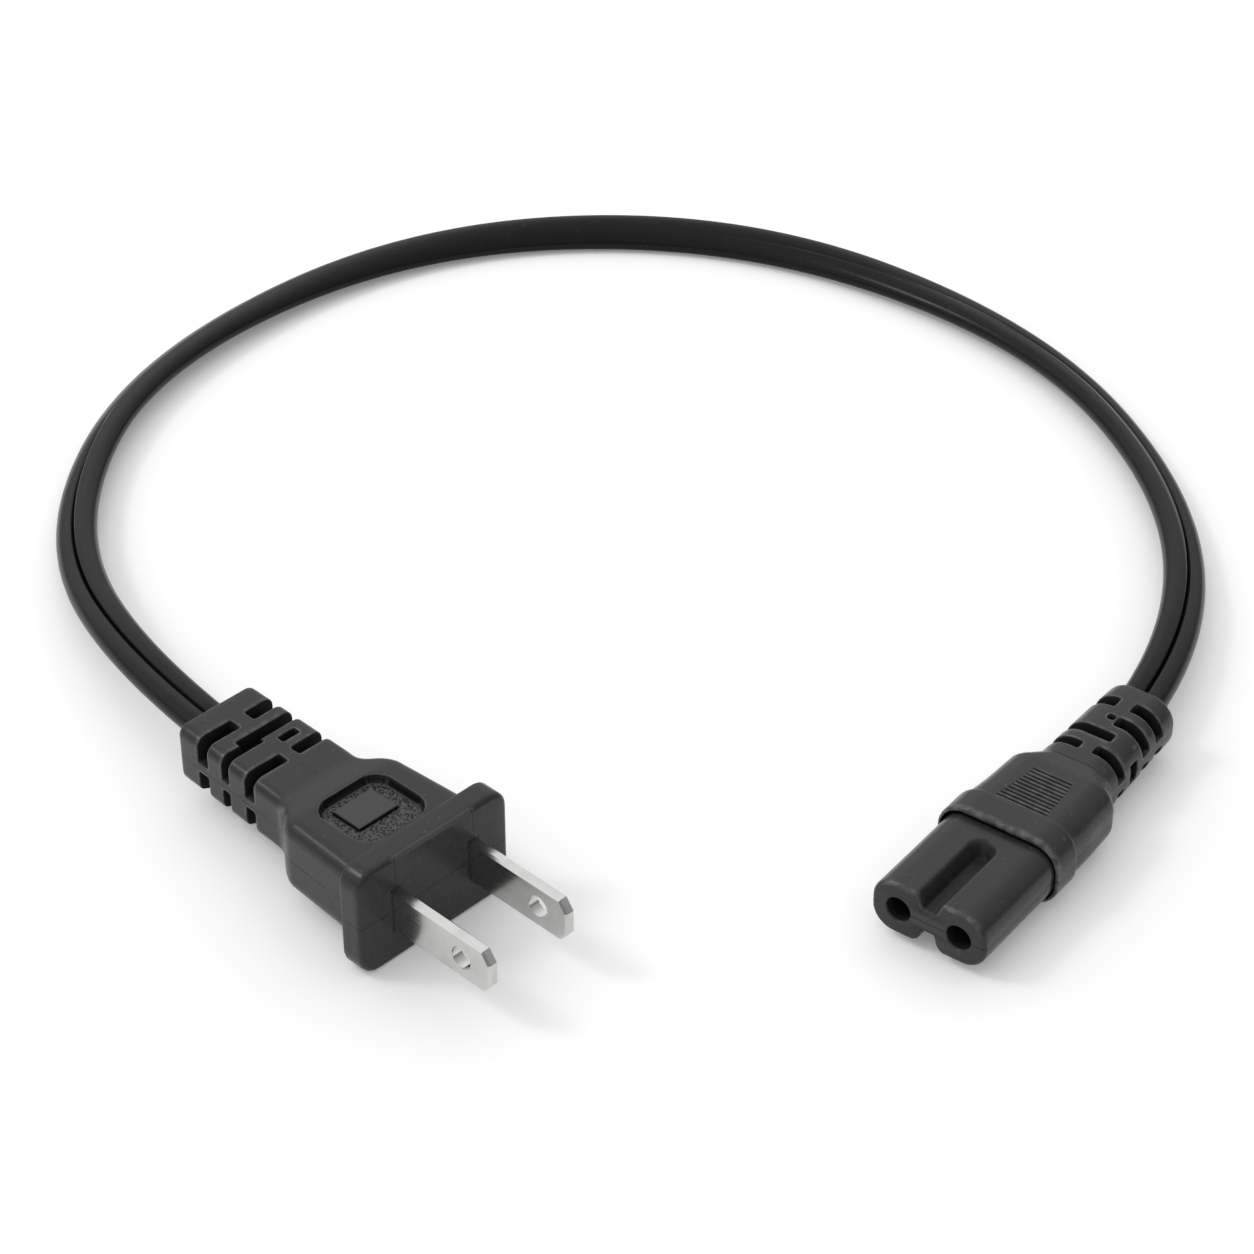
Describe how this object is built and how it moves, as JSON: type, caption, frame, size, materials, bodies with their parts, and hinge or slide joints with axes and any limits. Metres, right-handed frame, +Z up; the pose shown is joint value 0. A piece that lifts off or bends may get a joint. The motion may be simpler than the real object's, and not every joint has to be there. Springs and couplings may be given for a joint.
{
  "type": "type a plug",
  "caption": "Type A mains plug with flat blades, moulded on a short flat cord that ends in a figure-8 connector; both ends have slotted strain reliefs.",
  "frame": {"origin": "middle of the plug's mating face, halfway between the blades at their mid height", "axes": "+X the way the blades point, +Z up as the plug lies on its broad side, +Y to the plug's left"},
  "size_m": [0.1784, 0.1673, 0.0156],
  "materials": {
    "soft_pvc": "satin, fine grain",
    "cord_pvc": "satin",
    "hard_insert": "semi-matt",
    "carrier": "matt",
    "nickel": "bright nickel plate, lightly brushed",
    "contact_brass": "plain",
    "copper": "stranded copper"
  },
  "bodies": {
    "root": {"blade_carrier": "carrier", "blade_far": "nickel", "blade_near": "nickel", "connector_lead_far": "cord_pvc", "connector_lead_near": "cord_pvc", "connector_nose": "hard_insert", "connector_overmould": "soft_pvc", "connector_strands_far": "copper", "connector_strands_near": "copper", "contact_far": "contact_brass", "contact_near": "contact_brass", "cord": "cord_pvc", "plug_lead_far": "cord_pvc", "plug_lead_near": "cord_pvc", "plug_overmould": "soft_pvc", "plug_strands_far": "copper", "plug_strands_near": "copper"}
  },
  "joints": []
}
